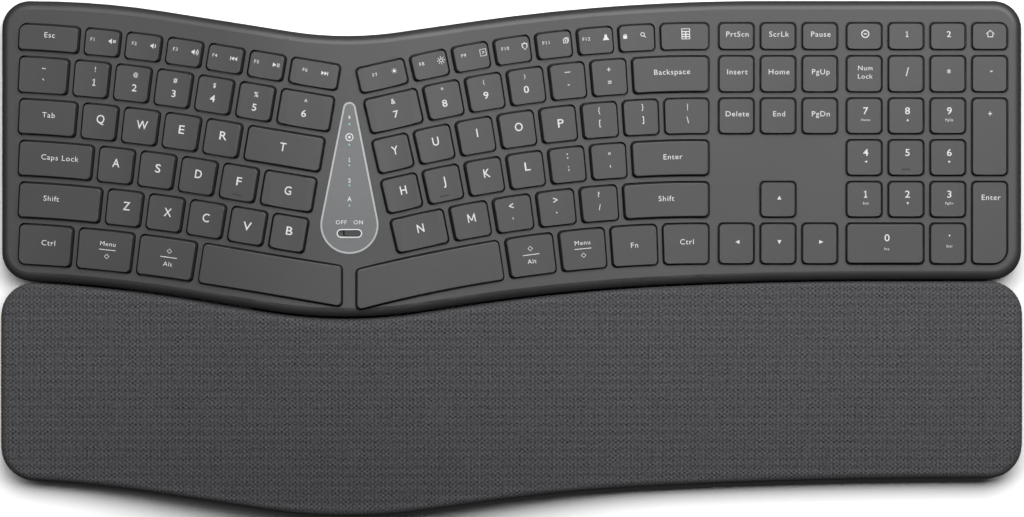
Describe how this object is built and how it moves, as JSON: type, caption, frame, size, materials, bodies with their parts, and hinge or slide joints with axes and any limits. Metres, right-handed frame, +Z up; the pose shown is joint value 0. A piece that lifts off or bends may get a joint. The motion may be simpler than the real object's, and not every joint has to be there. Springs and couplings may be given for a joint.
{
  "type": "split ergonomic keyboard",
  "caption": "Wireless split ergonomic keyboard, arched and curved, with a number pad, a woven palm rest, flip-out front legs and a sliding power switch.",
  "frame": {"origin": "on the desk, under the middle of the keyboard's outline seen from above", "axes": "+X to the right along the rows of keys, +Y towards the back, away from the user, +Z up"},
  "size_m": [0.4656, 0.2346, 0.0472],
  "materials": {
    "case_plastic": "fine satin texture, dark grey",
    "key_plastic": "fine satin texture, dark grey, white legends",
    "panel_plastic": "satin, mid grey, painted",
    "slider_plastic": "satin, dark grey, ribbed",
    "switch_plastic": "plain moulded black",
    "link_nylon": "plain moulded white",
    "clear_plastic": "clear, polished",
    "plate_steel": "pressed zinc-plated sheet",
    "screw_steel": "black zinc",
    "spring_steel": "drawn bright wire",
    "nickel_contact": "nickel plated, bright",
    "cell_can": "plain printed sleeve, satin",
    "board_laminate": "green solder resist",
    "printed_film": "clear polyester film with printed tracks",
    "silicone": "soft, matt, translucent white",
    "foot_rubber": "matt black",
    "foam": "open-cell foam, charcoal",
    "woven_fabric": "close plain weave, dark grey"
  },
  "bodies": {
    "frame": {"top_case": "case_plastic", "bottom_case": "case_plastic", "key_plate": "plate_steel", "membrane": "printed_film", "rubber_domes": "silicone", "scissor_links": "link_nylon", "stabiliser_bars": "spring_steel", "indicator_panel": "panel_plastic", "indicator_lenses": "clear_plastic", "power_switch": "switch_plastic", "circuit_boards": "board_laminate", "battery_cells": "cell_can", "battery_contacts": "nickel_contact", "ribbon_cable": "printed_film", "case_screws": "screw_steel", "rubber_feet": "foot_rubber", "palm_rest_base": "case_plastic", "palm_rest_foam": "foam", "palm_rest_cover": "woven_fabric", "tilt_leg_pins": "spring_steel"},
    "esc_key_body": {"esc_key": "key_plastic"},
    "tab_key_body": {"tab_key": "key_plastic"},
    "caps_lock_key_body": {"caps_lock_key": "key_plastic"},
    "left_shift_key_body": {"left_shift_key": "key_plastic"},
    "left_ctrl_key_body": {"left_ctrl_key": "key_plastic"},
    "left_space_bar_body": {"left_space_bar": "key_plastic"},
    "right_space_bar_body": {"right_space_bar": "key_plastic"},
    "enter_key_body": {"enter_key": "key_plastic"},
    "backspace_key_body": {"backspace_key": "key_plastic"},
    "right_shift_key_body": {"right_shift_key": "key_plastic"},
    "up_arrow_key_body": {"up_arrow_key": "key_plastic"},
    "down_arrow_key_body": {"down_arrow_key": "key_plastic"},
    "left_arrow_key_body": {"left_arrow_key": "key_plastic"},
    "right_arrow_key_body": {"right_arrow_key": "key_plastic"},
    "pad_plus_key_body": {"pad_plus_key": "key_plastic"},
    "pad_enter_key_body": {"pad_enter_key": "key_plastic"},
    "pad_zero_key_body": {"pad_zero_key": "key_plastic"},
    "column_1_keys_body": {"column_1_keys": "key_plastic"},
    "column_2_keys_body": {"column_2_keys": "key_plastic"},
    "column_3_keys_body": {"column_3_keys": "key_plastic"},
    "column_4_keys_body": {"column_4_keys": "key_plastic"},
    "column_5_keys_body": {"column_5_keys": "key_plastic"},
    "column_6_keys_body": {"column_6_keys": "key_plastic"},
    "column_7_keys_body": {"column_7_keys": "key_plastic"},
    "column_8_keys_body": {"column_8_keys": "key_plastic"},
    "column_9_keys_body": {"column_9_keys": "key_plastic"},
    "column_10_keys_body": {"column_10_keys": "key_plastic"},
    "column_11_keys_body": {"column_11_keys": "key_plastic"},
    "column_12_keys_body": {"column_12_keys": "key_plastic"},
    "right_edge_keys_body": {"right_edge_keys": "key_plastic"},
    "left_modifier_keys_body": {"left_modifier_keys": "key_plastic"},
    "right_modifier_keys_body": {"right_modifier_keys": "key_plastic"},
    "navigation_keys_body": {"navigation_keys": "key_plastic"},
    "pad_top_keys_body": {"pad_top_keys": "key_plastic"},
    "pad_digit_keys_body": {"pad_digit_keys": "key_plastic"},
    "power_slider_body": {"power_slider": "slider_plastic"},
    "battery_door_body": {"battery_door": "case_plastic"},
    "left_tilt_leg_body": {"left_tilt_leg": "case_plastic"},
    "right_tilt_leg_body": {"right_tilt_leg": "case_plastic"}
  },
  "joints": [
    {"name": "esc_key_press", "type": "slide", "parent": "frame", "child": "esc_key_body", "axis": [0.2334, 0, -0.9724], "range_m": [0, 0.0018], "stiffness_N_per_m": 150, "springref_m": -0.002, "deforming": ["rubber_domes", "scissor_links", "stabiliser_bars"]},
    {"name": "tab_key_press", "type": "slide", "parent": "frame", "child": "tab_key_body", "axis": [0.2334, 0, -0.9724], "range_m": [0, 0.0018], "stiffness_N_per_m": 150, "springref_m": -0.002},
    {"name": "caps_lock_key_press", "type": "slide", "parent": "frame", "child": "caps_lock_key_body", "axis": [0.2334, 0, -0.9724], "range_m": [0, 0.0018], "stiffness_N_per_m": 150, "springref_m": -0.002},
    {"name": "left_shift_key_press", "type": "slide", "parent": "frame", "child": "left_shift_key_body", "axis": [0.2334, 0, -0.9724], "range_m": [0, 0.0018], "stiffness_N_per_m": 150, "springref_m": -0.002},
    {"name": "left_ctrl_key_press", "type": "slide", "parent": "frame", "child": "left_ctrl_key_body", "axis": [0.2334, 0, -0.9724], "range_m": [0, 0.0018], "stiffness_N_per_m": 150, "springref_m": -0.002},
    {"name": "left_space_bar_press", "type": "slide", "parent": "frame", "child": "left_space_bar_body", "axis": [0.1469, 0, -0.9892], "range_m": [0, 0.0018], "stiffness_N_per_m": 150, "springref_m": -0.002},
    {"name": "right_space_bar_press", "type": "slide", "parent": "frame", "child": "right_space_bar_body", "axis": [-0.1527, 0, -0.9883], "range_m": [0, 0.0018], "stiffness_N_per_m": 150, "springref_m": -0.002},
    {"name": "enter_key_press", "type": "slide", "parent": "frame", "child": "enter_key_body", "axis": [-0.0737, 0, -0.9973], "range_m": [0, 0.0018], "stiffness_N_per_m": 150, "springref_m": -0.002},
    {"name": "backspace_key_press", "type": "slide", "parent": "frame", "child": "backspace_key_body", "axis": [-0.0733, 0, -0.9973], "range_m": [0, 0.0018], "stiffness_N_per_m": 150, "springref_m": -0.002},
    {"name": "right_shift_key_press", "type": "slide", "parent": "frame", "child": "right_shift_key_body", "axis": [-0.0818, 0, -0.9966], "range_m": [0, 0.0018], "stiffness_N_per_m": 150, "springref_m": -0.002},
    {"name": "up_arrow_key_press", "type": "slide", "parent": "frame", "child": "up_arrow_key_body", "axis": [0, 0, -1], "range_m": [0, 0.0018], "stiffness_N_per_m": 150, "springref_m": -0.002},
    {"name": "down_arrow_key_press", "type": "slide", "parent": "frame", "child": "down_arrow_key_body", "axis": [0, 0, -1], "range_m": [0, 0.0018], "stiffness_N_per_m": 150, "springref_m": -0.002},
    {"name": "left_arrow_key_press", "type": "slide", "parent": "frame", "child": "left_arrow_key_body", "axis": [0, 0, -1], "range_m": [0, 0.0018], "stiffness_N_per_m": 150, "springref_m": -0.002},
    {"name": "right_arrow_key_press", "type": "slide", "parent": "frame", "child": "right_arrow_key_body", "axis": [0, 0, -1], "range_m": [0, 0.0018], "stiffness_N_per_m": 150, "springref_m": -0.002},
    {"name": "pad_plus_key_press", "type": "slide", "parent": "frame", "child": "pad_plus_key_body", "axis": [0, 0, -1], "range_m": [0, 0.0018], "stiffness_N_per_m": 150, "springref_m": -0.002},
    {"name": "pad_enter_key_press", "type": "slide", "parent": "frame", "child": "pad_enter_key_body", "axis": [0, 0, -1], "range_m": [0, 0.0018], "stiffness_N_per_m": 150, "springref_m": -0.002},
    {"name": "pad_zero_key_press", "type": "slide", "parent": "frame", "child": "pad_zero_key_body", "axis": [0, 0, -1], "range_m": [0, 0.0018], "stiffness_N_per_m": 150, "springref_m": -0.002},
    {"name": "column_1_keys_press", "type": "slide", "parent": "frame", "child": "column_1_keys_body", "axis": [0.2334, 0, -0.9724], "range_m": [0, 0.0018], "stiffness_N_per_m": 150, "springref_m": -0.002},
    {"name": "column_2_keys_press", "type": "slide", "parent": "frame", "child": "column_2_keys_body", "axis": [0.2334, 0, -0.9724], "range_m": [0, 0.0018], "stiffness_N_per_m": 150, "springref_m": -0.002},
    {"name": "column_3_keys_press", "type": "slide", "parent": "frame", "child": "column_3_keys_body", "axis": [0.2334, 0, -0.9724], "range_m": [0, 0.0018], "stiffness_N_per_m": 150, "springref_m": -0.002},
    {"name": "column_4_keys_press", "type": "slide", "parent": "frame", "child": "column_4_keys_body", "axis": [0.2196, 0, -0.9756], "range_m": [0, 0.0018], "stiffness_N_per_m": 150, "springref_m": -0.002},
    {"name": "column_5_keys_press", "type": "slide", "parent": "frame", "child": "column_5_keys_body", "axis": [0.1358, 0, -0.9907], "range_m": [0, 0.0018], "stiffness_N_per_m": 150, "springref_m": -0.002},
    {"name": "column_6_keys_press", "type": "slide", "parent": "frame", "child": "column_6_keys_body", "axis": [0.0726, 0, -0.9974], "range_m": [0, 0.0018], "stiffness_N_per_m": 150, "springref_m": -0.002},
    {"name": "column_7_keys_press", "type": "slide", "parent": "frame", "child": "column_7_keys_body", "axis": [-0.0935, 0, -0.9956], "range_m": [0, 0.0018], "stiffness_N_per_m": 150, "springref_m": -0.002},
    {"name": "column_8_keys_press", "type": "slide", "parent": "frame", "child": "column_8_keys_body", "axis": [-0.1781, 0, -0.984], "range_m": [0, 0.0018], "stiffness_N_per_m": 150, "springref_m": -0.002},
    {"name": "column_9_keys_press", "type": "slide", "parent": "frame", "child": "column_9_keys_body", "axis": [-0.2164, 0, -0.9763], "range_m": [0, 0.0018], "stiffness_N_per_m": 150, "springref_m": -0.002},
    {"name": "column_10_keys_press", "type": "slide", "parent": "frame", "child": "column_10_keys_body", "axis": [-0.2164, 0, -0.9763], "range_m": [0, 0.0018], "stiffness_N_per_m": 150, "springref_m": -0.002},
    {"name": "column_11_keys_press", "type": "slide", "parent": "frame", "child": "column_11_keys_body", "axis": [-0.215, 0, -0.9766], "range_m": [0, 0.0018], "stiffness_N_per_m": 150, "springref_m": -0.002},
    {"name": "column_12_keys_press", "type": "slide", "parent": "frame", "child": "column_12_keys_body", "axis": [-0.1874, 0, -0.9823], "range_m": [0, 0.0018], "stiffness_N_per_m": 150, "springref_m": -0.002},
    {"name": "right_edge_keys_press", "type": "slide", "parent": "frame", "child": "right_edge_keys_body", "axis": [-0.0759, 0, -0.9971], "range_m": [0, 0.0018], "stiffness_N_per_m": 150, "springref_m": -0.002},
    {"name": "left_modifier_keys_press", "type": "slide", "parent": "frame", "child": "left_modifier_keys_body", "axis": [0.2334, 0, -0.9724], "range_m": [0, 0.0018], "stiffness_N_per_m": 150, "springref_m": -0.002},
    {"name": "right_modifier_keys_press", "type": "slide", "parent": "frame", "child": "right_modifier_keys_body", "axis": [-0.1552, 0, -0.9879], "range_m": [0, 0.0018], "stiffness_N_per_m": 150, "springref_m": -0.002},
    {"name": "navigation_keys_press", "type": "slide", "parent": "frame", "child": "navigation_keys_body", "axis": [0, 0, -1], "range_m": [0, 0.0018], "stiffness_N_per_m": 150, "springref_m": -0.002},
    {"name": "pad_top_keys_press", "type": "slide", "parent": "frame", "child": "pad_top_keys_body", "axis": [0, 0, -1], "range_m": [0, 0.0018], "stiffness_N_per_m": 150, "springref_m": -0.002},
    {"name": "pad_digit_keys_press", "type": "slide", "parent": "frame", "child": "pad_digit_keys_body", "axis": [0, 0, -1], "range_m": [0, 0.0018], "stiffness_N_per_m": 150, "springref_m": -0.002},
    {"name": "power_slide", "type": "slide", "parent": "frame", "child": "power_slider_body", "axis": [-1, 0, 0], "range_m": [0, 0.0028]},
    {"name": "battery_door_hinge", "type": "hinge", "parent": "frame", "child": "battery_door_body", "pos_m": [-0.076, 0.0769, 0.0032], "axis": [1, 0, 0], "range_deg": [0, 90]},
    {"name": "left_tilt_leg_hinge", "type": "hinge", "parent": "frame", "child": "left_tilt_leg_body", "pos_m": [-0.15, -0.088, 0.0045], "axis": [-1, 0, 0], "range_deg": [0, 90]},
    {"name": "right_tilt_leg_hinge", "type": "hinge", "parent": "frame", "child": "right_tilt_leg_body", "pos_m": [0.125, -0.088, 0.0045], "axis": [-1, 0, 0], "range_deg": [0, 90]}
  ]
}
